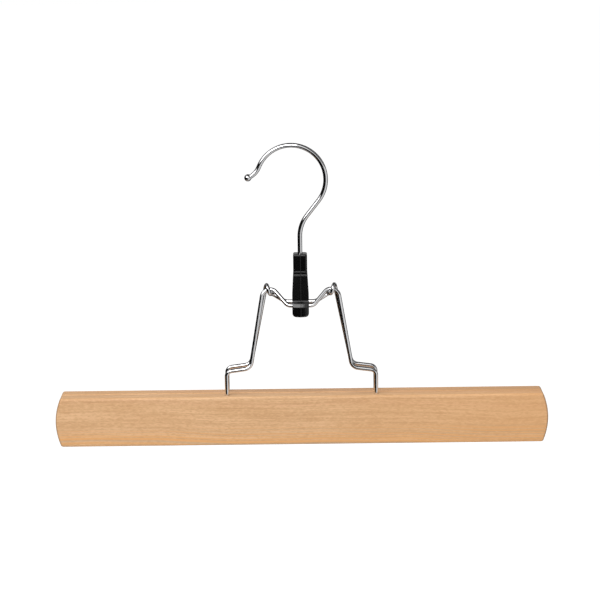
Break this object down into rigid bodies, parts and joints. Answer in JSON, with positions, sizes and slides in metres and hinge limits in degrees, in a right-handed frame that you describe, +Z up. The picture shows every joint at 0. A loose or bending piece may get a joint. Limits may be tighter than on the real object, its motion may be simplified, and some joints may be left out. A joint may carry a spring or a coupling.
{
  "type": "trouser hanger",
  "caption": "Trouser hanger: felt-lined wooden jaws on bent wires, shut by a plastic clip under a swivelling hook.",
  "frame": {"origin": "underside of the hook's crown straight above the stem, where the hanger rests on a rail", "axes": "+Z up along the hook's stem, +X along the wooden bar to the right seen from the front, +Y to the back"},
  "size_m": [0.36, 0.0264, 0.2203],
  "materials": {
    "hook_wire": "bright plated steel wire",
    "frame_wire": "bright plated steel wire",
    "washer": "zinc plated, satin",
    "moulding": "black moulded plastic, satin gloss",
    "beech": "steamed beech under clear satin lacquer",
    "felt": "dark pressed wool felt"
  },
  "bodies": {
    "hook": {"hook": "hook_wire", "hook_washer": "washer"},
    "clip": {"clip": "moulding"},
    "rear_half": {"rear_frame": "frame_wire", "rear_jaw": "beech", "rear_felt": "felt"},
    "front_half": {"front_frame": "frame_wire", "front_jaw": "beech", "front_felt": "felt"}
  },
  "joints": [
    {"name": "hook_swivel", "type": "hinge", "parent": "hook", "child": "clip", "pos_m": [0, 0, -0.0764], "axis": [0, 0, 1], "continuous": true},
    {"name": "clip_tilt", "type": "hinge", "parent": "clip", "child": "rear_half", "pos_m": [0, 0, -0.112], "axis": [1, 0, 0], "range_deg": [0, 90]},
    {"name": "jaw_open", "type": "hinge", "parent": "rear_half", "child": "front_half", "pos_m": [0, 0, -0.1029], "axis": [1, 0, 0], "range_deg": [-30, 0]}
  ],
  "couplings": [
    {"joint": "jaw_open", "follows": "clip_tilt", "ratio": -0.33333}
  ]
}
